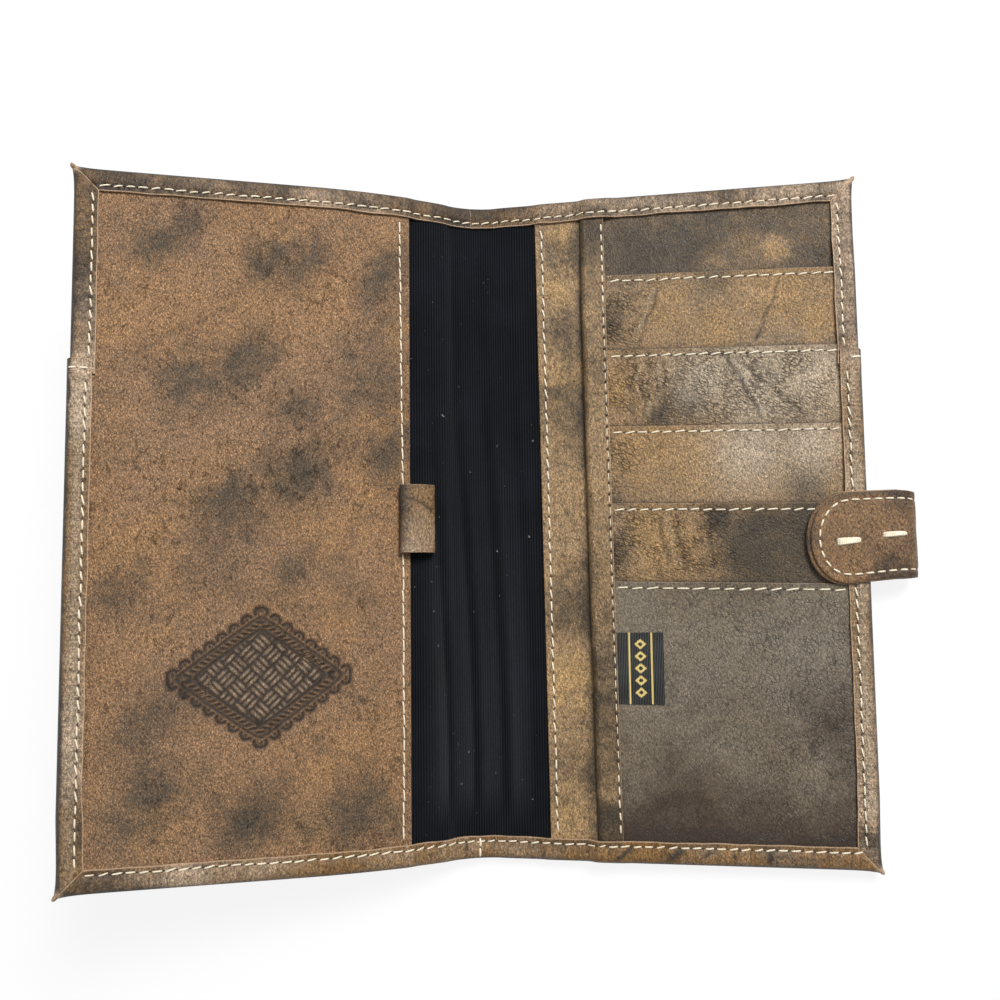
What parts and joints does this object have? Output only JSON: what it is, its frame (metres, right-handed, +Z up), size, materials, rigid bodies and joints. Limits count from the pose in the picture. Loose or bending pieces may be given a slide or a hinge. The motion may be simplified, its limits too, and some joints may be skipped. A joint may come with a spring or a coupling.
{
  "type": "bifold wallet",
  "caption": "Long bifold leather wallet lying open, with stepped card leaves, slip pockets, a pen loop, an edge binding and a folding closure strap.",
  "frame": {"origin": "under the middle of the open wallet's bounding box, on the surface that it lies on", "axes": "+X from the front cover to the back cover, +Y along the spine towards the top edge, +Z up from the surface"},
  "size_m": [0.2932, 0.2536, 0.0774],
  "materials": {
    "cover_leather": "distressed pull-up leather, dark brown",
    "pocket_leather": "mottled orange-brown nubuck",
    "card_leather": "waxed, creased, dark brown with gold rubs",
    "binding_leather": "waxed grey-brown, pale raw edge",
    "strap_leather": "pebbled grey-brown, pale raw edge",
    "lining_cloth": "black ribbed lining",
    "woven_cloth": "black woven tab",
    "leatherboard": "pressed leather fibre board",
    "closure_metal": "plain"
  },
  "bodies": {
    "back_cover": {"back_cover_leather": "cover_leather", "back_board": "leatherboard", "back_lining": "lining_cloth", "slip_pocket_panel": "card_leather", "card_panel_back": "card_leather", "card_leaf_1": "card_leather", "card_leaf_2": "card_leather", "card_leaf_3": "card_leather", "card_leaf_4": "card_leather", "lower_pocket": "card_leather", "card_edge_trim": "card_leather", "woven_tab": "woven_cloth", "back_binding_upper": "binding_leather", "back_binding_lower": "binding_leather", "strap_root": "strap_leather"},
    "spine": {"spine_leather": "cover_leather", "spine_lining": "lining_cloth", "spine_binding_top": "binding_leather", "spine_binding_bottom": "binding_leather"},
    "front_cover": {"front_cover_leather": "cover_leather", "front_board": "leatherboard", "front_lining": "lining_cloth", "catch_plate": "closure_metal", "front_pocket_panel": "pocket_leather", "pen_loop": "pocket_leather", "front_binding_upper": "binding_leather", "front_binding_lower": "binding_leather"},
    "strap": {"strap_tab": "strap_leather", "strap_tab_lining": "strap_leather", "closure_magnet": "closure_metal"}
  },
  "joints": [
    {"name": "back_fold", "type": "hinge", "parent": "back_cover", "child": "spine", "pos_m": [-0.00442, 0, 0.003], "axis": [0, 1, 0], "range_deg": [-14, 67]},
    {"name": "front_fold", "type": "hinge", "parent": "spine", "child": "front_cover", "pos_m": [-0.0247, 0, 0.0114], "axis": [0, 1, 0], "range_deg": [-10, 88]},
    {"name": "strap_fold", "type": "hinge", "parent": "back_cover", "child": "strap", "pos_m": [0.14668, 0, 0.00654], "axis": [0, 1, 0], "range_deg": [0, 170]}
  ]
}
